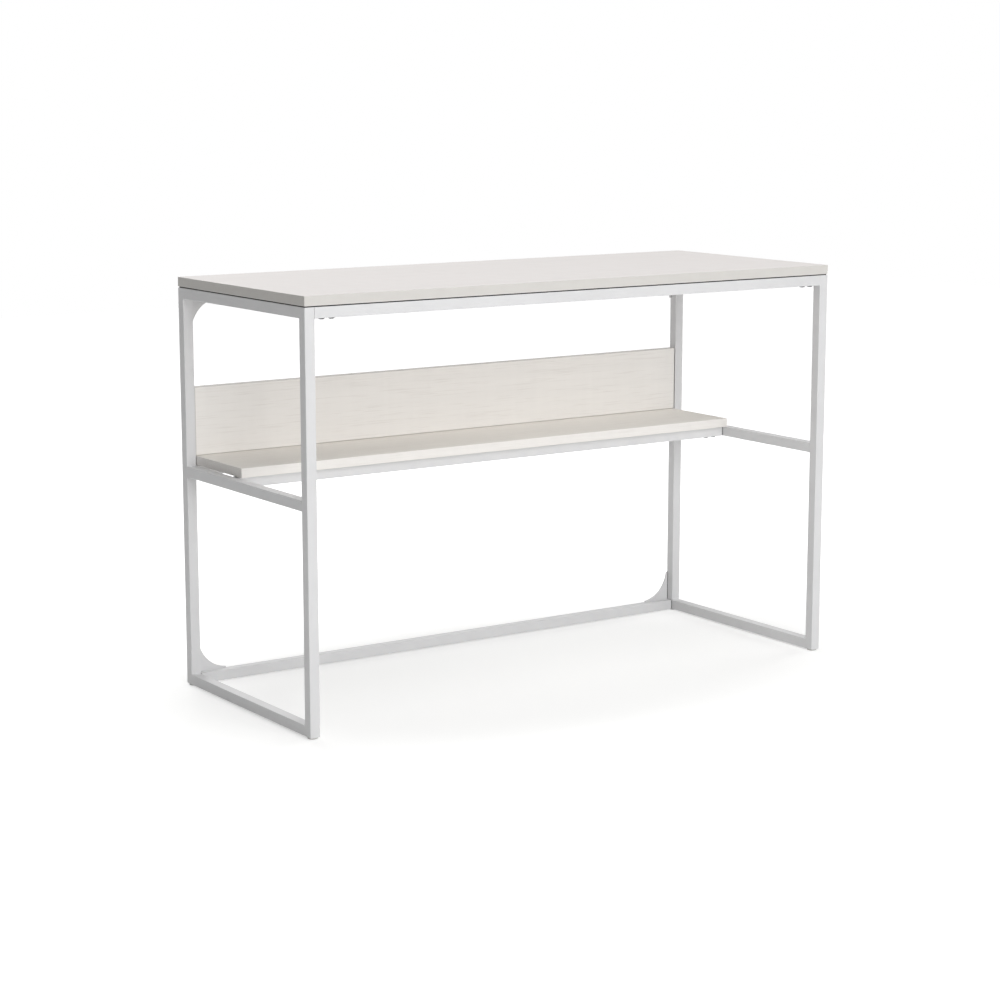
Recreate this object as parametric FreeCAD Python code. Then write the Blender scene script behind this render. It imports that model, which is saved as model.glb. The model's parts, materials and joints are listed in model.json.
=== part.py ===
import FreeCAD, Part
import math
import os

# Writing desk: two welded side frames in square tube, cross rails that sleeve over spigots and are
# bolted there, a laminate top, a shelf with a back panel, and screw-in levelling glides.
# Millimetres. X is the width, the front faces -Y, Z is up, the origin is on the floor at the centre.

Vector = FreeCAD.Vector
X_AXIS = Vector(1, 0, 0)
Y_AXIS = Vector(0, 1, 0)
Z_AXIS = Vector(0, 0, 1)

# Whole desk
width = 1200.0
depth = 480.0
height = 790.0

# Square frame tube
tube = 20.0
tube_wall = 1.2
tube_corner = 1.0
frame_bottom = 2.8
shelf_rail_top = 430.0
front_shelf_rail_y = 55.0

# Laminate boards
board = 18.0
band = 1.0
board_round = 0.7
top_gap = 2.0
shelf_gap = 1.2
shelf_front_y = 40.0
shelf_end_gap = 1.0
rear_inset = 1.0
panel_height = 132.0
panel_left_gap = 0.4
panel_right_gap = 2.0
panel_rebate_height = 1.6
panel_rebate_depth = 4.0

# Spigots that the cross rails slide over
rail_end_gap = 0.2
short_rail_end_gap = 2.4
spigot = 17.2
spigot_wall = 2.0
spigot_length = 50.0
bolt_distances = (19.0, 39.0)

# M6 rail bolts and their nuts
bolt_radius = 2.95
bolt_length = 10.0
bolt_hole_radius = 3.3
head_radius = 6.0
head_height = 2.6
crown_radius = 3.4
rim_height = 0.6
shoulder_radius = 5.1
shoulder_height = 1.85
socket_width = 4.0
socket_depth = 1.6
sunk_head_radius = 5.7
sunk_clearance = 0.1
nut_width = 10.0
nut_height = 5.0
nut_bore_radius = 3.0
thread_chamfer = 0.6

# M5 board screws with their heads inside the tubes, threaded inserts and spacers
screw_radius = 2.45
screw_head_radius = 5.0
screw_head_height = 3.5
screw_socket_width = 3.0
screw_socket_depth = 2.0
screw_hole_radius = 2.8
screw_access_radius = 5.8
screw_thread_depth = 10.0
insert_radius = 4.0
insert_hole_radius = 4.05
insert_bore_radius = 2.5
insert_length = 12.0
insert_hole_depth = 13.0
spacer_radius = 5.0
board_screw_xs = (-400.0, 0.0, 400.0)
panel_screw_xs = (-450.0, -150.0, 150.0, 450.0)

# Rubber strips that close the joint under the desk top and the joints beside the gussets
gasket_inset = 2.0
gasket_width = 16.0
gasket_hole_radius = 5.2
joint_strip_play = 0.05
joint_strip_depth = 1.7

# Corner gussets
gusset_reach = 61.0
gusset_waist = 21.6
gusset_tip = 2.6
gusset_thickness = 2.8
gusset_joint = 1.6
gusset_lip = 0.6
gusset_lip_gap = 0.2

# Levelling glides: a plastic pad snapped over the flange of an M8 stud
pad_radius = 9.5
pad_height = 2.5
pad_floor = 0.9
pad_chamfer = 0.5
pocket_radius = 5.6
pocket_height = 1.0
lip_radius = 4.8
key_hole_radius = 2.6
flange_radius = 5.5
flange_play = 0.05
stud_radius = 3.95
stud_top = 28.0
stud_socket_depth = 3.0
stud_hole_radius = 4.6
glide_nut_width = 13.0
glide_nut_height = 6.5
glide_nut_bore_radius = 4.0

# Places that follow from the sizes above
half_width = width / 2
half_depth = depth / 2
inner_x = half_width - tube
frame_top = height - board - top_gap
shelf_bottom = shelf_rail_top + shelf_gap
shelf_top = shelf_bottom + board
side_tube_x = half_width - tube / 2
rear_tube_y = half_depth - tube / 2
front_tube_y = -rear_tube_y
shelf_tube_y = front_shelf_rail_y + tube / 2
rear_board_y = half_depth - rear_inset
panel_front_y = rear_board_y - board

# Allowances for clean cuts and for picking edges
overshoot = 1.0
mitre_growth = 3.0
nearly_parallel = 0.99


def box(low, high):
    size = high - low
    return Part.makeBox(size.x, size.y, size.z, low)


def cylinder(radius, low_z, high_z):
    return Part.makeCylinder(radius, high_z - low_z, Z_AXIS * low_z)


def hexagon(across_flats, low_z, high_z):
    radius = across_flats / math.sqrt(3)
    angles = [math.radians(60 * step) for step in range(7)]
    points = [Vector(radius * math.cos(a), radius * math.sin(a), low_z) for a in angles]
    return Part.Face(Part.makePolygon(points)).extrude(Z_AXIS * (high_z - low_z))


def turned(points):
    """Solid of revolution about Z from a closed run of (radius, height) points."""
    outline = [Vector(radius, 0, level) for radius, level in points]
    face = Part.Face(Part.makePolygon(outline + outline[:1]))
    return face.revolve(Vector(0, 0, 0), Z_AXIS, 360)


def placed(shape, seat, direction):
    """Copy of a shape made along +Z at the origin, moved to a seat and turned to a direction."""
    copy = shape.copy()
    copy.Placement = FreeCAD.Placement(seat, FreeCAD.Rotation(Z_AXIS, direction))
    return copy


def edges_along(shape, axis):
    return [e for e in shape.Edges if abs(e.tangentAt(e.FirstParameter).dot(axis)) > nearly_parallel]


def square_tube(low, high, axis, wall=tube_wall):
    """Tube with rounded long edges between two corners of its outer box, open at both ends."""
    solid = box(low, high)
    solid = solid.makeFillet(tube_corner, edges_along(solid, axis))
    across = Vector(1, 1, 1) - axis
    cavity = box(low + across * wall - axis * overshoot, high - across * wall + axis * overshoot)
    return solid.cut(cavity)


def mitre_scrap(low_x, outer, inner, corner):
    """Prism over the half of a corner that a mitre cuts away, grown about the mitre's middle."""
    middle = (outer + inner) / 2
    start = X_AXIS * (low_x - overshoot)
    points = [start + middle + (point - middle) * mitre_growth for point in (outer, inner, corner)]
    face = Part.Face(Part.makePolygon(points + points[:1]))
    return face.extrude(X_AXIS * (tube + 2 * overshoot))


def side_frame(low_x):
    """Legs and rails of one side as separate tubes, with mitred corners and a butted middle rail."""
    high_x = low_x + tube
    legs = {}
    for place, low_y in (("front", -half_depth), ("rear", half_depth - tube)):
        low = Vector(low_x, low_y, frame_bottom)
        legs[place] = square_tube(low, Vector(high_x, low_y + tube, frame_top), Z_AXIS)
    rails = {}
    for place, low_z in (("bottom", frame_bottom), ("top", frame_top - tube)):
        low = Vector(low_x, -half_depth, low_z)
        rails[place] = square_tube(low, Vector(high_x, half_depth, low_z + tube), Y_AXIS)
    for leg, sign_y in (("front", -1), ("rear", 1)):
        for rail, outer_z, sign_z in (("bottom", frame_bottom, -1), ("top", frame_top, 1)):
            outer = Vector(0, sign_y * half_depth, outer_z)
            inner = Vector(0, sign_y * (half_depth - tube), outer_z - sign_z * tube)
            in_rail = Vector(0, inner.y, outer.z)
            in_leg = Vector(0, outer.y, inner.z)
            legs[leg] = legs[leg].cut(mitre_scrap(low_x, outer, inner, in_rail))
            rails[rail] = rails[rail].cut(mitre_scrap(low_x, outer, inner, in_leg))
    middle_low = Vector(low_x, tube - half_depth, shelf_rail_top - tube)
    middle_high = Vector(high_x, half_depth - tube, shelf_rail_top)
    return {
        "front_leg": legs["front"],
        "rear_leg": legs["rear"],
        "top_rail": rails["top"],
        "middle_rail": square_tube(middle_low, middle_high, Y_AXIS),
        "bottom_rail": rails["bottom"],
    }


def domed_bolt():
    """M6 bolt with a domed socket head below z = 0 and its shank above."""
    crown = Vector(crown_radius, 0, -head_height)
    shoulder = Vector(shoulder_radius, 0, -shoulder_height)
    rim = Vector(head_radius, 0, -rim_height)
    corners = [
        rim,
        Vector(head_radius, 0, 0),
        Vector(bolt_radius, 0, 0),
        Vector(bolt_radius, 0, bolt_length - thread_chamfer),
        Vector(bolt_radius - thread_chamfer, 0, bolt_length),
        Vector(0, 0, bolt_length),
        Vector(0, 0, -head_height),
        crown,
    ]
    edges = [Part.makeLine(a, b) for a, b in zip(corners, corners[1:])]
    edges.append(Part.Arc(crown, shoulder, rim).toShape())
    solid = Part.Face(Part.Wire(edges)).revolve(Vector(0, 0, 0), Z_AXIS, 360)
    return solid.cut(hexagon(socket_width, -head_height, socket_depth - head_height))


def sunk_profile(spare):
    """M6 bolt with a flush 90 degree head above z = 0, grown by spare to make its hole."""
    head = sunk_head_radius + spare
    shank = bolt_radius + spare
    neck = (shank, head - shank)
    thread_end = (shank, bolt_length - thread_chamfer)
    tip = (shank - thread_chamfer, bolt_length)
    return turned([(0, 0), (head, 0), neck, thread_end, tip, (0, bolt_length)])


def hex_nut(across_flats, bore_radius, low_z, high_z):
    return hexagon(across_flats, low_z, high_z).cut(cylinder(bore_radius, low_z, high_z))


def rail_nut():
    """M6 nut at its height inside the spigot, over a bolt seated at z = 0."""
    sleeve_play = (tube - 2 * tube_wall - spigot) / 2
    low_z = tube_wall + sleeve_play + spigot_wall
    return hex_nut(nut_width, nut_bore_radius, low_z, low_z + nut_height)


def cross_rail(low_y, low_z, end_gap, flush_from_rear):
    """One rail with its two spigots, four bolts and four nuts."""
    end_x = inner_x - end_gap
    rail = square_tube(Vector(-end_x, low_y, low_z), Vector(end_x, low_y + tube, low_z + tube), X_AXIS)
    middle = Vector(0, low_y + tube / 2, low_z + tube / 2)
    if flush_from_rear:
        inward = Y_AXIS * -1
        bolt = sunk_profile(0).cut(hexagon(socket_width, 0, socket_depth))
        hole = sunk_profile(sunk_clearance)
    else:
        inward = Z_AXIS
        bolt = domed_bolt()
        hole = cylinder(bolt_hole_radius, -overshoot, bolt_length)
    half_section = Vector(0, spigot / 2, spigot / 2)
    spigots, bolts, nuts = [], [], []
    for side in (-1, 1):
        low_x = min(side * inner_x, side * (inner_x - spigot_length))
        low = middle - half_section + X_AXIS * low_x
        high = middle + half_section + X_AXIS * (low_x + spigot_length)
        sleeve = square_tube(low, high, X_AXIS, spigot_wall)
        for distance in bolt_distances:
            seat = middle - inward * (tube / 2) + X_AXIS * (side * (inner_x - distance))
            rail = rail.cut(placed(hole, seat, inward))
            sleeve = sleeve.cut(placed(hole, seat, inward))
            bolts.append(placed(bolt, seat, inward))
            nuts.append(placed(rail_nut(), seat, inward))
        spigots.append(sleeve)
    return {"": rail, "_spigots": spigots, "_bolts": bolts, "_nuts": nuts}


def gusset(side, base_z, up):
    """Concave quarter plate on a rear rail, just inside the rear face, with a thin lip towards the leg."""

    def at(across, rise):
        return Vector(side * (inner_x - across), rear_board_y, base_z + up * rise)

    def plate(leg_gap, thickness):
        corners = [
            at(gusset_joint + gusset_tip, gusset_reach),
            at(leg_gap, gusset_reach),
            at(leg_gap, 0),
            at(gusset_joint + gusset_reach, 0),
            at(gusset_joint + gusset_reach, gusset_tip),
        ]
        edges = [Part.makeLine(a, b) for a, b in zip(corners, corners[1:])]
        middle = at(gusset_joint + gusset_waist, gusset_waist)
        edges.append(Part.Arc(corners[-1], middle, corners[0]).toShape())
        return Part.Face(Part.Wire(edges)).extrude(Y_AXIS * -thickness)

    lip = plate(gusset_lip_gap, gusset_lip)
    return plate(gusset_joint, gusset_thickness).fuse(lip).removeSplitter()


def joint_strip(side, base_z, up):
    """Rubber strip in the groove between a gusset and its leg, against the gusset's lip."""
    near_x = side * (inner_x - joint_strip_play)
    far_x = side * (inner_x - gusset_joint + joint_strip_play)
    end_z = base_z + up * gusset_reach
    rear_y = rear_board_y - gusset_lip
    low = Vector(min(near_x, far_x), rear_y - joint_strip_depth, min(base_z, end_z))
    high = Vector(max(near_x, far_x), rear_y, max(base_z, end_z))
    return box(low, high)


def banded_board(low, high, sides):
    """Board core, and the strips glued to its named sides in that order. A bare edge stays sharp."""
    whole = box(low, high)
    bare_below = "z+" in sides
    rounded = [e for e in whole.Edges if not (bare_below and e.BoundBox.ZMax < low.z + board_round)]
    whole = whole.makeFillet(board_round, rounded)
    core_low, core_high = list(low), list(high)
    strips = []
    for side in sides:
        axis = "xyz".index(side[0])
        slab_low, slab_high = core_low.copy(), core_high.copy()
        if side[1] == "-":
            core_low[axis] += band
            slab_high[axis] = core_low[axis]
        else:
            core_high[axis] -= band
            slab_low[axis] = core_high[axis]
        strips.append(whole.common(box(Vector(*slab_low), Vector(*slab_high))))
    return whole.common(box(Vector(*core_low), Vector(*core_high))), strips


def board_screw(grip):
    """M5 screw with its head below z = 0, long enough to thread into an insert past the grip."""
    head = cylinder(screw_head_radius, -screw_head_height, 0)
    screw = head.fuse(cylinder(screw_radius, 0, grip + screw_thread_depth))
    socket_end = screw_socket_depth - screw_head_height
    return screw.cut(hexagon(screw_socket_width, -screw_head_height, socket_end))


def fix_board(name, core, through, rail_top, gap, spots):
    """Screws at (rail, x, y) spots from inside the rails into a board core, through another if named."""
    grip = tube_wall + gap + (board if through else 0)
    access = cylinder(screw_access_radius, -tube, tube_wall - tube / 2)
    clearance_hole = cylinder(screw_hole_radius, -tube / 2, grip)
    insert_hole = cylinder(insert_hole_radius, grip, grip + insert_hole_depth)
    insert = cylinder(insert_radius, grip, grip + insert_length)
    insert = insert.cut(cylinder(insert_bore_radius, grip, grip + insert_length))
    spacer_top = tube_wall + gap
    spacer = cylinder(spacer_radius, tube_wall, spacer_top)
    spacer = spacer.cut(cylinder(screw_hole_radius, tube_wall, spacer_top))
    groups = {"screws": board_screw(grip), "inserts": insert, "spacers": spacer}
    seats = [Vector(x, y, rail_top - tube_wall) for _, x, y in spots]
    for (rail, _, _), seat in zip(spots, seats):
        nodes[rail] = nodes[rail].cut([placed(hole, seat, Z_AXIS) for hole in (access, clearance_hole)])
        nodes[core] = nodes[core].cut(placed(insert_hole, seat, Z_AXIS))
        if through:
            nodes[through] = nodes[through].cut(placed(clearance_hole, seat, Z_AXIS))
    for group, shape in groups.items():
        nodes[f"{name}_{group}"] = Part.makeCompound([placed(shape, seat, Z_AXIS) for seat in seats])


def gasket(spots):
    """Flat rubber ring on the top rails, with a hole round the spacer at each (rail, x, y) spot."""
    outer = Vector(half_width - gasket_inset, half_depth - gasket_inset, 0)
    inner = outer - Vector(gasket_width, gasket_width, 0)
    low = Z_AXIS * frame_top
    high = Z_AXIS * (frame_top + top_gap)
    ring = box(low - outer, high + outer).cut(box(low - inner, high + inner))
    hole = cylinder(gasket_hole_radius, low.z, high.z)
    return ring.cut([placed(hole, Vector(x, y, 0), Z_AXIS) for _, x, y in spots])


def glide_pad():
    pocket_top = pad_floor + pocket_height
    return turned([
        (key_hole_radius, 0),
        (pad_radius - pad_chamfer, 0),
        (pad_radius, pad_chamfer),
        (pad_radius, pad_height),
        (lip_radius, pad_height),
        (lip_radius, pocket_top),
        (pocket_radius, pocket_top),
        (pocket_radius, pad_floor),
        (key_hole_radius, pad_floor),
    ])


def glide_stud():
    low_z = pad_floor + flange_play
    flange_z = pad_floor + pocket_height - flange_play
    stud = turned([
        (0, low_z),
        (flange_radius, low_z),
        (flange_radius, flange_z),
        (stud_radius, flange_z),
        (stud_radius, stud_top - thread_chamfer),
        (stud_radius - thread_chamfer, stud_top),
        (0, stud_top),
    ])
    return stud.cut(hexagon(socket_width, low_z, low_z + stud_socket_depth))


nodes = {}

# Side frames
for side, low_x in (("left", -half_width), ("right", inner_x)):
    for piece, shape in side_frame(low_x).items():
        nodes[f"{side}_{piece}"] = shape

# Cross rails: front or rear place, height, end gap, and whether the bolts lie flush in the rear face
top_rail_z = frame_top - tube
shelf_rail_z = shelf_rail_top - tube
rear_rail_y = half_depth - tube
cross_rails = {
    "front_top_rail": cross_rail(-half_depth, top_rail_z, rail_end_gap, False),
    "rear_top_rail": cross_rail(rear_rail_y, top_rail_z, rail_end_gap, False),
    "front_shelf_rail": cross_rail(front_shelf_rail_y, shelf_rail_z, short_rail_end_gap, False),
    "rear_shelf_rail": cross_rail(rear_rail_y, shelf_rail_z, rail_end_gap, False),
    "rear_bottom_rail": cross_rail(rear_rail_y, frame_bottom, short_rail_end_gap, True),
}
for name, pieces in cross_rails.items():
    for ending, made in pieces.items():
        nodes[name + ending] = Part.makeCompound(made) if ending else made

# Gussets under the rear top rail and on the rear bottom rail, each with its rubber strip
joint_strips = []
for side, sign in (("left", -1), ("right", 1)):
    for place, base_z, up in (("top", top_rail_z, -1), ("bottom", frame_bottom + tube, 1)):
        nodes[f"{side}_{place}_gusset"] = gusset(sign, base_z, up)
        joint_strips.append(joint_strip(sign, base_z, up))
nodes["gusset_joint_strips"] = Part.makeCompound(joint_strips)

# Boards with their edge bands
shelf_x = inner_x - shelf_end_gap
flat_sides = ("y-", "y+", "x-", "x+")
boards = {
    "desk_top": (
        Vector(-half_width, -half_depth, height - board),
        Vector(half_width, half_depth, height),
        flat_sides,
    ),
    "shelf": (
        Vector(-shelf_x, shelf_front_y, shelf_bottom),
        Vector(shelf_x, rear_board_y, shelf_top),
        flat_sides,
    ),
    "back_panel": (
        Vector(panel_left_gap - inner_x, panel_front_y, shelf_top),
        Vector(inner_x - panel_right_gap, rear_board_y, shelf_top + panel_height),
        ("z+", "x-", "x+"),
    ),
}
for name, (low, high, sides) in boards.items():
    core, strips = banded_board(low, high, sides)
    nodes[name] = core
    nodes[f"{name}_edge_band"] = Part.makeCompound(strips)

# Shallow rebate along the front foot of the back panel, which draws a shadow line on the shelf
rebate_low = Vector(-half_width, panel_front_y - overshoot, shelf_top - overshoot)
rebate_high = Vector(half_width, panel_front_y + panel_rebate_depth, shelf_top + panel_rebate_height)
for name in ("back_panel", "back_panel_edge_band"):
    nodes[name] = nodes[name].cut(box(rebate_low, rebate_high))

# Board fixings
top_spots = [("front_top_rail", x, front_tube_y) for x in board_screw_xs]
top_spots += [("rear_top_rail", x, rear_tube_y) for x in board_screw_xs]
top_spots += [("left_top_rail", -side_tube_x, 0), ("right_top_rail", side_tube_x, 0)]
shelf_spots = [("front_shelf_rail", x, shelf_tube_y) for x in board_screw_xs]
panel_spots = [("rear_shelf_rail", x, rear_tube_y) for x in panel_screw_xs]
fix_board("top", "desk_top", None, frame_top, top_gap, top_spots)
nodes["top_gasket"] = gasket(top_spots)
fix_board("shelf", "shelf", None, shelf_rail_top, shelf_gap, shelf_spots)
fix_board("panel", "back_panel", "shelf", shelf_rail_top, shelf_gap, panel_spots)

# Levelling glides under the legs, each in a nut welded inside its frame corner
nut_low = frame_bottom + tube_wall
glide_nut = hex_nut(glide_nut_width, glide_nut_bore_radius, nut_low, nut_low + glide_nut_height)
stud_hole = cylinder(stud_hole_radius, 0, nut_low + overshoot)
glide_nuts = []
for side, x in (("left", -side_tube_x), ("right", side_tube_x)):
    for place, y in (("front", front_tube_y), ("rear", rear_tube_y)):
        spot = Vector(x, y, 0)
        bottom_rail = f"{side}_bottom_rail"
        nodes[bottom_rail] = nodes[bottom_rail].cut(placed(stud_hole, spot, Z_AXIS))
        nodes[f"{side}_{place}_glide_pad"] = placed(glide_pad(), spot, Z_AXIS)
        nodes[f"{side}_{place}_glide_stud"] = placed(glide_stud(), spot, Z_AXIS)
        glide_nuts.append(placed(glide_nut, spot, Z_AXIS))
nodes["glide_nuts"] = Part.makeCompound(glide_nuts)

os.makedirs("parts", exist_ok=True)
for name, shape in nodes.items():
    shape.exportStep(f"parts/{name}.step")
    volume_cm3 = shape.Volume / 1000
    print(f"{name}: {len(shape.Solids)} solid(s), {volume_cm3:.2f} cm3, valid {shape.isValid()}")
print(f"{len(nodes)} nodes")
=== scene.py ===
# %% [markdown]
# A slim writing desk: a white steel frame in 20 mm square tube, a whitewashed laminate top, and a shelf
# with a low back panel. The engineering model already has every tube, board and fastener in its true
# place, so this lesson dresses that model: it gives each part its finish, models the few pieces that
# need more shape than the solids hold, and lights the desk as a studio would.

# %% Load the desk
import json
import math

import bmesh
import bpy
from mathutils import Matrix, Vector


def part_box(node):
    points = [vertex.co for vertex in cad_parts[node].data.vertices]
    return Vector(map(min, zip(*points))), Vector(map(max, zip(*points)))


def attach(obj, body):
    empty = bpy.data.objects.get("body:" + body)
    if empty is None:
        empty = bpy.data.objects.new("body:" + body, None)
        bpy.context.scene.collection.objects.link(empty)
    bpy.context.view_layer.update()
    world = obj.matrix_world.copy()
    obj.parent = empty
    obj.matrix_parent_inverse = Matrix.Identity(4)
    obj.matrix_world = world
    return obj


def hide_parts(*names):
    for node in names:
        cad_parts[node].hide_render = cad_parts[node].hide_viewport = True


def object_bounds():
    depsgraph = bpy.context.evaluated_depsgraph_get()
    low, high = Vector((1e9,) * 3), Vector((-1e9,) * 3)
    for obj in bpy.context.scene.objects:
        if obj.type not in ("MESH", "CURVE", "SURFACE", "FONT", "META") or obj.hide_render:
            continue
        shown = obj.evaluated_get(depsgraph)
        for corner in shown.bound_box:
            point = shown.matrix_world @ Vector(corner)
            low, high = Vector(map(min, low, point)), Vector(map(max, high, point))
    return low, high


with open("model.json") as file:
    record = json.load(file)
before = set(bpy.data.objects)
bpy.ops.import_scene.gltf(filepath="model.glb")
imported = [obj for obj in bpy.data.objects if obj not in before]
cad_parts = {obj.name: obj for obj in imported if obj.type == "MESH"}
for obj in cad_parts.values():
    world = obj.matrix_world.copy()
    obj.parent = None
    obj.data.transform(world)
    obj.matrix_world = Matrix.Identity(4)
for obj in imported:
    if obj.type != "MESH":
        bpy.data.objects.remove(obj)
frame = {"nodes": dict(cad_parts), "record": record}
solid_box = [list(corner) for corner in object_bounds()]
MM = 0.001
solid_size = [round((high - low) / MM) for low, high in zip(*solid_box)]
print(len(frame["nodes"]), "solids in a box of", solid_size, "mm")

# %% [markdown]
# The camera stands in front of the desk and to its left, higher than the top, about 4.7 m away, and looks
# slightly down. A long lens keeps the legs nearly parallel, as in a catalogue picture. The place and the
# lens were fitted to measured edges of the legs, the top and the shelf. No shift is used, so that the
# same camera can walk round the desk and keep it in the middle of the picture.

# %% Camera
camera_place = Vector((-2.635, -3.826, 1.171))
camera_aim = Vector((-0.0293, 0.0, 0.3409))
sensor_width_mm = 36
lens_mm = 86.1


def facing(place, aim):
    return (aim - place).to_track_quat("-Z", "Y").to_euler()


camera = bpy.data.objects.new("camera", bpy.data.cameras.new("camera"))
camera.data.sensor_width = sensor_width_mm
camera.data.lens = lens_mm
camera.location = camera_place
camera.rotation_euler = facing(camera_place, camera_aim)
bpy.context.scene.collection.objects.link(camera)
bpy.context.scene.camera = camera
print("camera", round((camera_aim - camera_place).length, 2), "m from its aim, lens", lens_mm, "mm")

# %% [markdown]
# Every finish below is a small tree of nodes. Two helpers keep them short. The first turns a colour as a
# paint chart writes it, an sRGB hex value, into the linear light that the renderer works with: the sRGB
# curve is straight near black and a power above that. The second adds one node, sets it up, and links
# whatever comes into it. A Mix node has one set of sockets for each kind of data, all with the same names,
# so its sockets are picked by number, and the numbers get names here.

# %% Colours and nodes
SHARE, NUMBER_A, NUMBER_B, COLOUR_A, COLOUR_B = 0, 2, 3, 6, 7
MIXED_NUMBER, MIXED_COLOUR = 0, 2


def linear(hex_colour):
    shares = [int(hex_colour[place:place + 2], 16) / 255 for place in (1, 3, 5)]
    return [s / 12.92 if s <= 0.04045 else ((s + 0.055) / 1.055) ** 2.4 for s in shares] + [1.0]


def add_node(tree, kind, inputs, **settings):
    node = tree.nodes.new("ShaderNode" + kind)
    for name, value in settings.items():
        setattr(node, name, value)
    for socket, value in inputs.items():
        if isinstance(value, bpy.types.NodeSocket):
            tree.links.new(value, node.inputs[socket])
        else:
            node.inputs[socket].default_value = value
    return node


def new_finish(name):
    material = bpy.data.materials.new(name)
    material.use_nodes = True
    material.node_tree.nodes.clear()
    place = add_node(material.node_tree, "TexCoord", {}).outputs["Object"]
    return material, material.node_tree, place


print("mid grey #808080 is", round(linear("#808080")[0], 3), "in linear light")

# %% [markdown]
# The frame is powder-coated steel: plastic powder, baked on until it flows. It never flows quite flat, so
# under a lamp its satin skin shows the soft dimples that painters call orange peel. A bump made from noise
# gives them. The true dimples are about 1.5 mm wide, too fine for this picture, so they are drawn 4 mm
# wide. A second, slow noise thins and thickens the coat, and a third one varies the gloss as hands do.

# %% Powder-coated steel
coat_thin = "#D8D8D9"
coat_thick = "#E1E1E2"
coat_patch = 70 * MM
coat_gloss = (0.36, 0.48)
handled_patch = 25 * MM
peel_size = 4 * MM
peel_depth = 0.15 * MM
peel_strength = 0.12

powder_coat, tree, place = new_finish("powder_coated_steel")
peel = add_node(tree, "TexNoise", {"Vector": place, "Scale": 1 / peel_size, "Detail": 1.0}).outputs["Fac"]
coat = add_node(tree, "TexNoise", {"Vector": place, "Scale": 1 / coat_patch, "Detail": 3.0}).outputs["Fac"]
handled = {"Vector": place, "Scale": 1 / handled_patch, "Detail": 2.0}
hands = add_node(tree, "TexNoise", handled).outputs["Fac"]
coat_colours = {SHARE: coat, COLOUR_A: linear(coat_thin), COLOUR_B: linear(coat_thick)}
colour = add_node(tree, "Mix", coat_colours, data_type="RGBA")
gloss = add_node(tree, "MapRange", {"Value": hands, "To Min": coat_gloss[0], "To Max": coat_gloss[1]})
bump = add_node(tree, "Bump", {"Height": peel, "Strength": peel_strength, "Distance": peel_depth})
shader = add_node(tree, "BsdfPrincipled", {
    "Base Color": colour.outputs[MIXED_COLOUR], "Roughness": gloss.outputs["Result"],
    "Normal": bump.outputs["Normal"], "IOR": 1.5,
})
add_node(tree, "OutputMaterial", {"Surface": shader.outputs["BSDF"]})
print(powder_coat.name, "with orange peel drawn", peel_size / MM, "mm wide")

# %% [markdown]
# The boards are particle board under a printed laminate that looks like whitewashed wood. White was wiped
# over the print and stayed thick on the flat wood and thin in the pores, so the grain only whispers: long
# pale streaks along the desk, fine grey pores, and faint cross marks of the saw. Each is one noise, pulled
# long by a Mapping node. The pores of the print are about 0.4 mm wide and are drawn 2 mm wide to show.
# Each board has its own pale and deep white. The top's are as written; the shelf and the back panel sit in
# the shade under the top, and their paler whites are painted light that lifts them out of that shade.

# %% Whitewashed laminate
pore_grey = "#D6D0CA"
streak_size = (420 * MM, 9 * MM, 9 * MM)
saw_size = (14 * MM, 160 * MM, 160 * MM)
saw_share = 0.35
pore_size = (70 * MM, 2 * MM, 2 * MM)
# The noise at which a pore starts to open and is fully open, and how grey an open pore is.
pore_opening = (0.56, 0.74)
pore_greyness = 0.3
pore_depth = 0.1 * MM
pore_strength = 0.1
laminate_gloss = (0.62, 0.76)


def stretched_noise(tree, place, size, detail):
    pulled = add_node(tree, "Mapping", {"Vector": place, "Scale": [1 / length for length in size]})
    inputs = {"Vector": pulled.outputs["Vector"], "Scale": 1.0, "Detail": detail}
    return add_node(tree, "TexNoise", inputs).outputs["Fac"]


def whitewash(name, pale, deep, gloss_range):
    material, tree, place = new_finish(name)
    streaks = stretched_noise(tree, place, streak_size, 3.0)
    pores = stretched_noise(tree, place, pore_size, 2.0)
    saw = stretched_noise(tree, place, saw_size, 2.0)
    marks = add_node(tree, "Mix", {SHARE: saw_share, NUMBER_A: streaks, NUMBER_B: saw}, data_type="FLOAT")
    whites = {SHARE: marks.outputs[MIXED_NUMBER], COLOUR_A: linear(deep), COLOUR_B: linear(pale)}
    washed = add_node(tree, "Mix", whites, data_type="RGBA").outputs[MIXED_COLOUR]
    open_pores = add_node(tree, "MapRange", {
        "Value": pores, "From Min": pore_opening[0], "From Max": pore_opening[1], "To Max": pore_greyness,
    })
    layers = {SHARE: open_pores.outputs["Result"], COLOUR_A: washed, COLOUR_B: linear(pore_grey)}
    grained = add_node(tree, "Mix", layers, data_type="RGBA").outputs[MIXED_COLOUR]
    gloss = add_node(tree, "MapRange", {"Value": pores, "To Min": gloss_range[0], "To Max": gloss_range[1]})
    pits = {"Height": pores, "Strength": pore_strength, "Distance": pore_depth}
    bump = add_node(tree, "Bump", pits, invert=True)
    shader = add_node(tree, "BsdfPrincipled", {
        "Base Color": grained, "Roughness": gloss.outputs["Result"], "Normal": bump.outputs["Normal"],
        "IOR": 1.48, "Specular IOR Level": 0.2,
    })
    add_node(tree, "OutputMaterial", {"Surface": shader.outputs["BSDF"]})
    print(name, "with streaks", streak_size[0] / MM, "mm long and pores drawn", pore_size[1] / MM, "mm wide")
    return material


top_laminate = whitewash("whitewashed_laminate_top", "#EAE6E4", "#E1DDDB", laminate_gloss)
# The shelf's and the panel's paler whites are painted light for the shade under the top.
shelf_laminate_painted_light = whitewash("whitewashed_laminate_shelf_painted_light", "#F5F2EC", "#ECE9E3", laminate_gloss)
panel_laminate_painted_light = whitewash("whitewashed_laminate_panel_painted_light", "#FAF7F3", "#F1EEEA", laminate_gloss)
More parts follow.
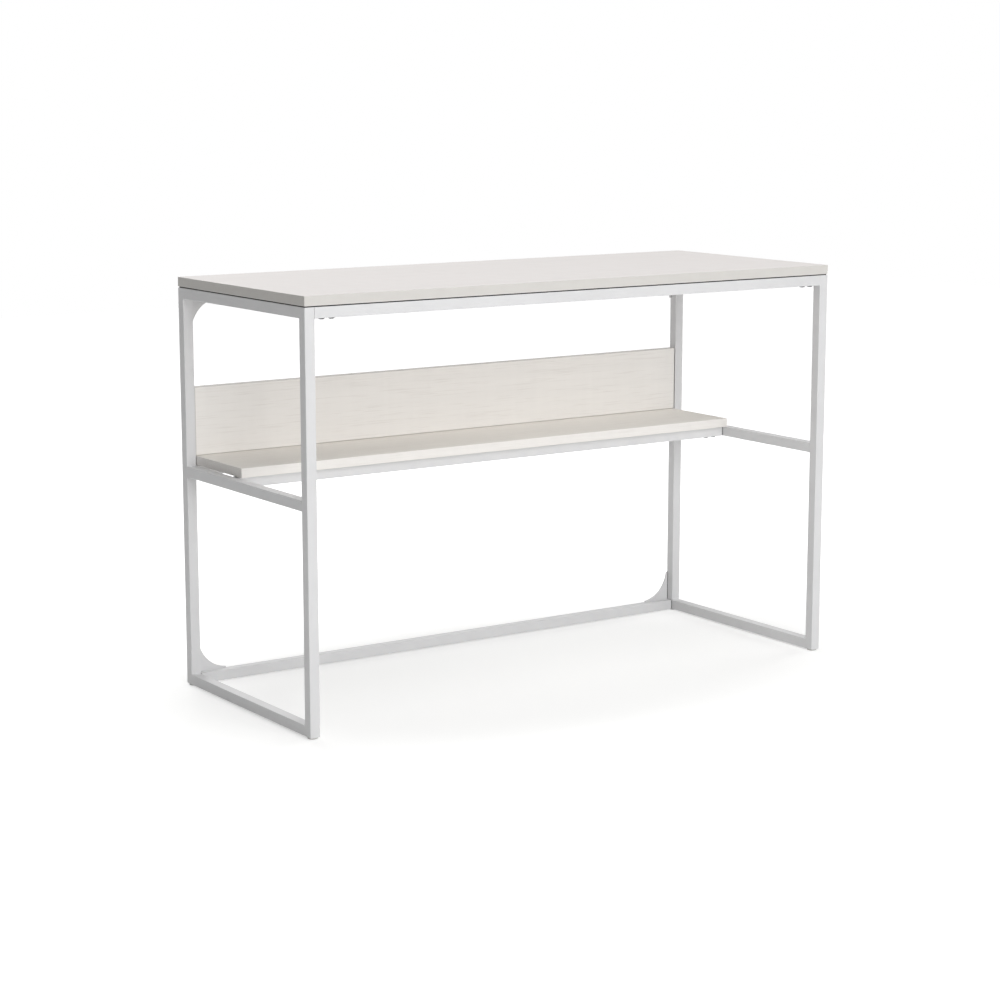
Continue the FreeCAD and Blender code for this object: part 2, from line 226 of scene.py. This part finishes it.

# %% [markdown]
# The cut edges of the boards are closed with a 1 mm band of ABS, a tough plastic that is printed with the
# same whitewash and glued on hot. Up close the band gives itself away by a little more shine than the matt
# face. The shelf's band is as white as its face. The bands of the top and the back panel are a shade greyer;
# along the panel's upper edge, which lies in the shade under the top, that grey is painted shade and draws
# a thin dark line.

# %% Edge bands
band_gloss = (0.38, 0.50)
edge_band = whitewash("printed_ABS_edge_band", "#F7F4F0", "#EDEAE6", band_gloss)
# On the back panel's upper edge this greyer band is painted shade for the shadow under the top.
greyer_edge_band_painted_shade = whitewash("printed_ABS_edge_band_painted_shade", "#DAD8D4", "#D1CECA", band_gloss)

# %% [markdown]
# Screws, nuts and studs are zinc-plated steel. A barrel-plated part has a bright, slightly cloudy skin with
# tiny crystals, so the colour shifts between two greys and the gloss varies over 3 mm patches. The bolts of
# the rails, and the spigots inside them, which are masked when the frame is coated, are phosphated steel,
# and
# their dark grey is painted shade: it darkens the bolt heads under the rails and the gaps at the rail ends,
# where shade falls. The threaded inserts in the boards are turned brass, bright with a fine cloud from the
# tool.

# %% Zinc plate, phosphate as painted shade, and brass
cloud_depth = 0.05 * MM
cloud_strength = 0.08


def plated_metal(name, dark, bright, patch, gloss_range):
    material, tree, place = new_finish(name)
    cloud = add_node(tree, "TexNoise", {"Vector": place, "Scale": 1 / patch, "Detail": 3.0}).outputs["Fac"]
    greys = {SHARE: cloud, COLOUR_A: linear(dark), COLOUR_B: linear(bright)}
    colour = add_node(tree, "Mix", greys, data_type="RGBA")
    gloss = add_node(tree, "MapRange", {"Value": cloud, "To Min": gloss_range[0], "To Max": gloss_range[1]})
    bump = add_node(tree, "Bump", {"Height": cloud, "Strength": cloud_strength, "Distance": cloud_depth})
    shader = add_node(tree, "BsdfPrincipled", {
        "Base Color": colour.outputs[MIXED_COLOUR], "Roughness": gloss.outputs["Result"],
        "Normal": bump.outputs["Normal"], "Metallic": 1.0,
    })
    add_node(tree, "OutputMaterial", {"Surface": shader.outputs["BSDF"]})
    print(name, "with patches of", patch / MM, "mm")
    return material


zinc_plate = plated_metal("zinc_plated_steel", "#9EA1A4", "#BCBFC2", patch=3 * MM, gloss_range=(0.28, 0.46))
# The dark grey of the phosphate is painted shade for the bolt heads and the gaps at the rail ends.
phosphate_painted_shade = plated_metal("phosphated_steel_painted_shade", "#55575A", "#6A6C6E", patch=1.5 * MM, gloss_range=(0.55, 0.75))
brass = plated_metal("turned_brass", "#B98F4A", "#D0AC68", patch=0.8 * MM, gloss_range=(0.22, 0.36))

# %% [markdown]
# Feet and spacers are moulded nylon: light grey, slightly milky, with the low sheen that a spark-eroded
# mould leaves. The milky depth is a little subsurface scattering, and the mould's skin a fine bump. The
# mould's pits are about 0.1 mm across and are drawn 0.8 mm across to show in a close view.

# %% Moulded nylon
nylon_dark = "#BFBFBB"
nylon_light = "#CFCFCB"
nylon_gloss = (0.44, 0.58)
flow_patch = 6 * MM
mould_pit = 0.8 * MM
pit_depth = 0.05 * MM
pit_strength = 0.15
milky_share = 0.08
milky_depth = 1 * MM

nylon, tree, place = new_finish("moulded_nylon")
flow = add_node(tree, "TexNoise", {"Vector": place, "Scale": 1 / flow_patch, "Detail": 2.0}).outputs["Fac"]
pits = add_node(tree, "TexNoise", {"Vector": place, "Scale": 1 / mould_pit, "Detail": 1.0}).outputs["Fac"]
nylon_colours = {SHARE: flow, COLOUR_A: linear(nylon_dark), COLOUR_B: linear(nylon_light)}
colour = add_node(tree, "Mix", nylon_colours, data_type="RGBA")
gloss = add_node(tree, "MapRange", {"Value": flow, "To Min": nylon_gloss[0], "To Max": nylon_gloss[1]})
bump = add_node(tree, "Bump", {"Height": pits, "Strength": pit_strength, "Distance": pit_depth})
shader = add_node(tree, "BsdfPrincipled", {
    "Base Color": colour.outputs[MIXED_COLOUR], "Roughness": gloss.outputs["Result"],
    "Normal": bump.outputs["Normal"], "IOR": 1.53,
    "Subsurface Weight": milky_share, "Subsurface Scale": milky_depth,
})
add_node(tree, "OutputMaterial", {"Surface": shader.outputs["BSDF"]})
print(nylon.name, "with pits drawn", mould_pit / MM, "mm wide")

# %% [markdown]
# Black rubber strips close the joint under the top and the joints beside the gussets. They are extruded and
# cut to length, which leaves them matt and faintly mottled. Their near-black colour is painted shade: it
# stands in for the shadow in those joints and draws a dark, even line there.

# %% Extruded rubber, coloured as painted shade
# The near-black of the strips is painted shade for the joints under the top and beside the gussets.
painted_shade_rubber_dark = "#191919"
painted_shade_rubber_light = "#262626"
rubber_gloss = (0.70, 0.88)
mottle_patch = 1.5 * MM

rubber_painted_shade, tree, place = new_finish("extruded_rubber_painted_shade")
mottling = {"Vector": place, "Scale": 1 / mottle_patch, "Detail": 2.0}
mottle = add_node(tree, "TexNoise", mottling).outputs["Fac"]
painted_shade_rubber_colours = {SHARE: mottle, COLOUR_A: linear(painted_shade_rubber_dark), COLOUR_B: linear(painted_shade_rubber_light)}
colour = add_node(tree, "Mix", painted_shade_rubber_colours, data_type="RGBA")
gloss = add_node(tree, "MapRange", {"Value": mottle, "To Min": rubber_gloss[0], "To Max": rubber_gloss[1]})
shader = add_node(tree, "BsdfPrincipled", {
    "Base Color": colour.outputs[MIXED_COLOUR], "Roughness": gloss.outputs["Result"],
    "Specular IOR Level": 0.3,
})
add_node(tree, "OutputMaterial", {"Surface": shader.outputs["BSDF"]})
print(rubber_painted_shade.name, "mottled over", mottle_patch / MM, "mm")

# %% [markdown]
# The record that came with the model says which finish each solid takes. One loop hands the finishes out,
# and a second list names the parts that differ from the rest of their kind: the shelf and the back panel
# with whites painted paler, the bands of the top and the back panel painted greyer, and the phosphated steel
# inside and under the rails, whose dark grey is painted shade.

# %% Dress the solids
finishes = {
    "powder_coat": powder_coat,
    "laminate_board": top_laminate,
    "edge_band": edge_band,
    "zinc_fastener": zinc_plate,
    "brass_insert": brass,
    "nylon": nylon,
    "rubber_strip": rubber_painted_shade,
}
own_finishes = {
    "shelf": shelf_laminate_painted_light,
    "back_panel": panel_laminate_painted_light,
    "desk_top_edge_band": greyer_edge_band_painted_shade,
    "back_panel_edge_band": greyer_edge_band_painted_shade,
}
for node in frame["nodes"]:
    if node.endswith(("_rail_bolts", "_rail_spigots")):
        own_finishes[node] = phosphate_painted_shade
for part in frame["record"]["subparts"]:
    solid = frame["nodes"][part["node"]]
    solid.data.materials.clear()
    solid.data.materials.append(own_finishes.get(part["node"], finishes[part["material_slot"]]))

# %% [markdown]
# The next pieces are new meshes. Each one is built in its final place, in metres, so its object stays at
# the origin, and each one names the body that it moves with and the finish that it shares. Points that
# fall together are merged, and edges that turn by more than 35 degrees stay sharp.

# %% Finish a new piece
merge_distance = 0.005 * MM
sharp_angle = math.radians(35)


def finish_piece(name, mesh, slot, body, replaced=()):
    bmesh.ops.remove_doubles(mesh, verts=mesh.verts, dist=merge_distance)
    bmesh.ops.recalc_face_normals(mesh, faces=mesh.faces)
    data = bpy.data.meshes.new(name)
    mesh.to_mesh(data)
    mesh.free()
    data.materials.append(finishes[slot])
    data.shade_smooth()
    data.set_sharp_from_angle(angle=sharp_angle)
    piece = bpy.data.objects.new(name, data)
    bpy.context.scene.collection.objects.link(piece)
    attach(piece, body)
    if replaced:
        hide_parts(*replaced)
    print(name, len(data.polygons), "faces on", body)


print("new pieces merge points closer than", merge_distance / MM, "mm")

# %% [markdown]
# Each side frame is five tubes welded together. Outside, the seams are ground flush before coating. In the
# inner corners no disc can reach, so a short fillet of weld stays, with the ripples of the puddle. A ripple
# bead is a ring that is pulled along the joint in small steps and swells and shrinks as it goes. Each pull
# leaves its old face behind as a wall inside the bead, so all but the first, which closes the end, go.

# %% Weld beads in the corners of the side frames
bead_radius = 1.7 * MM
bead_sides = 10
bead_step = 1.0 * MM
bead_end_gap = 2.0 * MM
# Shares of the bead's radius: at its two ends, and at the hills and dips of its ripple.
bead_tip = 0.6
ripple = (1.0, 0.86)


def add_bead(mesh, start, length):
    tip_radius = bead_radius * bead_tip
    ring = bmesh.ops.create_circle(mesh, cap_ends=True, radius=tip_radius, segments=bead_sides)["verts"]
    stand_up = Matrix.Rotation(math.radians(90), 4, "Y")
    bmesh.ops.transform(mesh, matrix=Matrix.Translation(start) @ stand_up, verts=ring)
    face = ring[0].link_faces[0]
    steps = round(length / bead_step)
    sizes = [bead_tip] + [ripple[step % 2] for step in range(steps - 1)] + [bead_tip]
    for step in range(steps):
        pulled = bmesh.ops.extrude_face_region(mesh, geom=[face])["geom"]
        if step > 0:
            bmesh.ops.delete(mesh, geom=[face], context="FACES_ONLY")
        face = [part for part in pulled if isinstance(part, bmesh.types.BMFace)][0]
        bmesh.ops.translate(mesh, vec=Vector((bead_step, 0, 0)), verts=face.verts)
        middle = start + Vector(((step + 1) * bead_step, 0, 0))
        growth = sizes[step + 1] / sizes[step]
        bmesh.ops.scale(mesh, vec=[growth] * 3, space=Matrix.Translation(-middle), verts=face.verts)


for side in ("left", "right"):
    beads = bmesh.new()
    rail_low, rail_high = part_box(f"{side}_middle_rail")
    bead_length = rail_high.x - rail_low.x - 2 * bead_end_gap
    corner_heights = [
        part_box(f"{side}_bottom_rail")[1].z, rail_low.z, rail_high.z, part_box(f"{side}_top_rail")[0].z,
    ]
    for corner_y in (rail_low.y, rail_high.y):
        for corner_z in corner_heights:
            add_bead(beads, Vector((rail_low.x + bead_end_gap, corner_y, corner_z)), bead_length)
    finish_piece(f"{side}_weld_beads", beads, "powder_coat", "frame")

# %% [markdown]
# Each leg stands on a moulded glide: a low nylon pad that snaps over the flange of a threaded stud. The pad
# is a turned shape, so its outline is drawn once, from the key hole round the rim and back over the lip,
# and spun round the stud's axis. The rim gets the soft radius that a mould gives, above and below.

# %% Glide pads
pad_radius = 9.5 * MM
key_hole_radius = 2.6 * MM
pocket_radius = 5.6 * MM
lip_radius = 4.8 * MM
pad_height = 2.5 * MM
pad_floor = 0.9 * MM
pocket_top = 1.9 * MM
rim_round = 0.6 * MM
rim_steps = 4
turn_steps = 48
# Two lengths that differ by less than this count as the same.
near = 0.01 * MM


def axis_of(node):
    low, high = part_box(node)
    return Vector(((low.x + high.x) / 2, (low.y + high.y) / 2, 0))


def spun(outline, axis_place, steps):
    mesh = bmesh.new()
    points = [mesh.verts.new((radius, 0, height)) for radius, height in outline]
    edges = [mesh.edges.new(pair) for pair in zip(points, points[1:])]
    bmesh.ops.spin(
        mesh, geom=points + edges, cent=(0, 0, 0), axis=(0, 0, 1), angle=math.tau, steps=steps,
        use_merge=True,
    )
    bmesh.ops.translate(mesh, vec=axis_place, verts=mesh.verts)
    return mesh


pad_outline = [
    (key_hole_radius, 0), (pad_radius, 0), (pad_radius, pad_height), (lip_radius, pad_height),
    (lip_radius, pocket_top), (pocket_radius, pocket_top), (pocket_radius, pad_floor),
    (key_hole_radius, pad_floor), (key_hole_radius, 0),
]
corners = [f"{side}_{end}" for side in ("left", "right") for end in ("front", "rear")]
for corner in corners:
    node = f"{corner}_glide_pad"
    axis_place = axis_of(node)
    pad = spun(pad_outline, axis_place, turn_steps)
    bmesh.ops.remove_doubles(pad, verts=pad.verts, dist=merge_distance)
    rims = [
        edge for edge in pad.edges
        if all(abs((vert.co - axis_place).xy.length - pad_radius) < near for vert in edge.verts)
        and abs(edge.verts[0].co.z - edge.verts[1].co.z) < near
    ]
    bmesh.ops.bevel(
        pad, geom=rims, offset=rim_round, affect="EDGES", segments=rim_steps, profile=0.5, material=-1,
    )
    finish_piece(f"{corner}_moulded_pad", pad, "nylon", node, [node])

# %% [markdown]
# The stud in each glide has a real M8 thread, 1.25 mm from one turn to the next. The zigzag of the thread
# is drawn once along the axis and spun one full turn while it climbs one pitch, so every tooth meets the
# next one. Bisecting planes cut the ends flat. The upper end is closed, and rings that are bridged one to
# the next lead from the lower end round the flange, a short drum, and up into the six-sided socket for the
# key that levels the desk.

# %% Threaded studs
thread_pitch = 1.25 * MM
thread_radius = 3.95 * MM
thread_root = 3.25 * MM
# The flat on the crest of a tooth, as a share of the pitch.
thread_crest = 0.16
thread_steps = 32
stud_top = 28.0 * MM
flange_radius = 5.5 * MM
flange_low = 0.95 * MM
flange_top = 1.85 * MM
flange_sides = 24
socket_width = 4.0 * MM
socket_depth = 3.0 * MM
socket_sides = 6


def threaded_shank(low_z, high_z, axis_place):
    mesh = bmesh.new()
    crest_low, crest_high = 0.5 - thread_crest / 2, 0.5 + thread_crest / 2
    zigzag = []
    for tooth in range(-1, math.ceil((high_z - low_z) / thread_pitch) + 1):
        foot = low_z + tooth * thread_pitch
        for share, radius in ((0, thread_root), (crest_low, thread_radius), (crest_high, thread_radius)):
            zigzag.append(mesh.verts.new((radius, 0, foot + share * thread_pitch)))
    edges = [mesh.edges.new(pair) for pair in zip(zigzag, zigzag[1:])]
    bmesh.ops.spin(
        mesh, geom=zigzag + edges, cent=(0, 0, 0), axis=(0, 0, 1), dvec=(0, 0, thread_pitch / thread_steps),
        angle=math.tau, steps=thread_steps,
    )
    bmesh.ops.remove_doubles(mesh, verts=mesh.verts, dist=merge_distance)
    for height, up in ((low_z, -1), (high_z, 1)):
        bmesh.ops.bisect_plane(
            mesh, geom=mesh.verts[:] + mesh.edges[:] + mesh.faces[:], plane_co=(0, 0, height),
            plane_no=(0, 0, up), clear_outer=True,
        )
    middle_z = (low_z + high_z) / 2
    top_rim = [edge for edge in mesh.edges if edge.is_boundary and edge.verts[0].co.z > middle_z]
    bmesh.ops.holes_fill(mesh, edges=top_rim, sides=0)
    bmesh.ops.translate(mesh, vec=axis_place, verts=mesh.verts)
    return mesh


def add_flange(mesh, axis_place):
    socket_radius = socket_width / math.sqrt(3)
    rings = (
        (flange_radius, flange_sides, flange_top), (flange_radius, flange_sides, flange_low),
        (socket_radius, socket_sides, flange_low), (socket_radius, socket_sides, flange_low + socket_depth),
    )
    loops = [[edge for edge in mesh.edges if edge.is_boundary]]
    for radius, sides, height in rings:
        ring = bmesh.ops.create_circle(mesh, radius=radius, segments=sides)["verts"]
        bmesh.ops.translate(mesh, vec=axis_place + Vector((0, 0, height)), verts=ring)
        loops.append(list({edge for vert in ring for edge in vert.link_edges}))
    for upper, lower in zip(loops, loops[1:]):
        bmesh.ops.bridge_loops(mesh, edges=upper + lower)
    bmesh.ops.edgeloop_fill(mesh, edges=loops[-1])


for corner in corners:
    node = f"{corner}_glide_stud"
    axis_place = axis_of(node)
    stud = threaded_shank(flange_top, stud_top, axis_place)
    add_flange(stud, axis_place)
    finish_piece(f"{corner}_threaded_stud", stud, "zinc_fastener", node, [node])

# %% [markdown]
# The studio floor is plain white. The camera should see it as clean white paper that keeps the desk's
# soft shadow, while the desk itself should get the ordinary bounce of a pale floor. The Light Path node
# tells the two apart: seen directly or in a reflection, the floor adds a glow to a weak diffuse part. Near
# the desk the glow is kept low, which paints a pool of shade round the desk on top of its real shadow, and
# further away the glow rises until the floor melts into the background. The painted pool is an oval
# that is longer along the desk: the place is squeezed along X before its distance is measured. The paper
# lies a hair below the soles of the feet, so that the two never share a plane.

# %% Floor
floor_size = 14.0
floor_drop = 0.2 * MM
floor_bounce = "#F7F7F6"
floor_shade = "#C1C1C0"
# Strength of the glow at the desk, kept low there as painted shade, and far away, and the distances in
# metres from the middle of the painted pool between which it rises.
glow_near_painted_shade = 0.5
glow_far = 1.0
painted_shade_start = 0.29
painted_shade_end = 0.8
painted_shade_middle = (0, -0.06, 0)
painted_shade_squeeze = (0.58, 1, 1)


def seen_by_camera(tree):
    share = 0.0
    path = add_node(tree, "LightPath", {})
    for ray in ("Is Camera Ray", "Is Glossy Ray", "Is Transmission Ray"):
        share = add_node(tree, "Math", {0: share, 1: path.outputs[ray]}, operation="MAXIMUM").outputs[0]
    return share


plane = bmesh.new()
bmesh.ops.create_grid(plane, x_segments=1, y_segments=1, size=floor_size / 2)
bmesh.ops.translate(plane, vec=(0, 0, -floor_drop), verts=plane.verts)
floor_data = bpy.data.meshes.new("studio_floor")
plane.to_mesh(floor_data)
plane.free()
floor = bpy.data.objects.new("studio_floor", floor_data)
bpy.context.scene.collection.objects.link(floor)

paper, tree, place = new_finish("white_studio_paper_with_painted_shade")
seen = seen_by_camera(tree)
squeezed = add_node(tree, "VectorMath", {0: place, 1: painted_shade_squeeze}, operation="MULTIPLY").outputs["Vector"]
away = add_node(tree, "VectorMath", {0: squeezed, 1: painted_shade_middle}, operation="DISTANCE")
# The glow is lower near the desk, a painted pool of shade round it.
glow_with_painted_shade = add_node(tree, "MapRange", {
    "Value": away.outputs["Value"], "From Min": painted_shade_start, "From Max": painted_shade_end,
    "To Min": glow_near_painted_shade, "To Max": glow_far,
}, interpolation_type="SMOOTHSTEP")
lit = add_node(tree, "BsdfDiffuse", {"Color": linear(floor_bounce)})
shade = add_node(tree, "BsdfDiffuse", {"Color": linear(floor_shade)})
shine = add_node(tree, "Emission", {"Strength": glow_with_painted_shade.outputs["Result"]})
shown = add_node(tree, "AddShader", {0: shade.outputs[0], 1: shine.outputs[0]})
both = add_node(tree, "MixShader", {0: seen, 1: lit.outputs[0], 2: shown.outputs[0]})
add_node(tree, "OutputMaterial", {"Surface": both.outputs[0]})
floor_data.materials.append(paper)
print("floor", floor_size, "m across")

# %% [markdown]
# The light is a catalogue set: a broad soft lamp in front, another overhead, and an even room around. Two
# smaller ones, behind and to the right, reach under the top and lift the upper faces of the low rails. The
# side towards the camera's left stays in half shade and lives from the floor's bounce, which is what shows
# the tube as square. Strengths are set so that a surface facing the lamps comes out in the colour that its
# finish is written in. The lamps themselves are hidden from the camera, and the world is white to it.

# %% Lamps and room
room_light = 0.16
backdrop_light = 1.0
white = linear("#FFFFFF")
# Each lamp: its place, the point that it is aimed at, its size in metres and its watts.
lamps = {
    "front_softbox": ((-0.5, -4.4, 2.1), (0, 0, 0.45), 3.2, 131),
    "overhead_softbox": ((-0.2, -0.4, 3.4), (0, 0, 0.5), 2.4, 35),
    "rear_softbox": ((0.3, 3.8, 2.8), (0, 0, 0.3), 1.8, 64),
    "right_softbox": ((4.0, 0.0, 1.8), (0, 0, 0.35), 1.6, 44),
}
for name, (lamp_place, lamp_aim, size, watts) in lamps.items():
    data = bpy.data.lights.new(name, "AREA")
    data.size = size
    data.energy = watts
    lamp = bpy.data.objects.new(name, data)
    lamp.location = lamp_place
    lamp.rotation_euler = facing(Vector(lamp_place), Vector(lamp_aim))
    lamp.visible_camera = False
    bpy.context.scene.collection.objects.link(lamp)

world = bpy.data.worlds.new("studio_room")
world.use_nodes = True
tree = world.node_tree
tree.nodes.clear()
seen = seen_by_camera(tree)
room = add_node(tree, "Background", {"Color": white, "Strength": room_light})
backdrop = add_node(tree, "Background", {"Color": white, "Strength": backdrop_light})
both = add_node(tree, "MixShader", {0: seen, 1: room.outputs[0], 2: backdrop.outputs[0]})
add_node(tree, "OutputWorld", {"Surface": both.outputs[0]})
bpy.context.scene.world = world
bpy.context.scene.view_settings.view_transform = "Standard"
print(len(lamps), "lamps, room light", room_light)
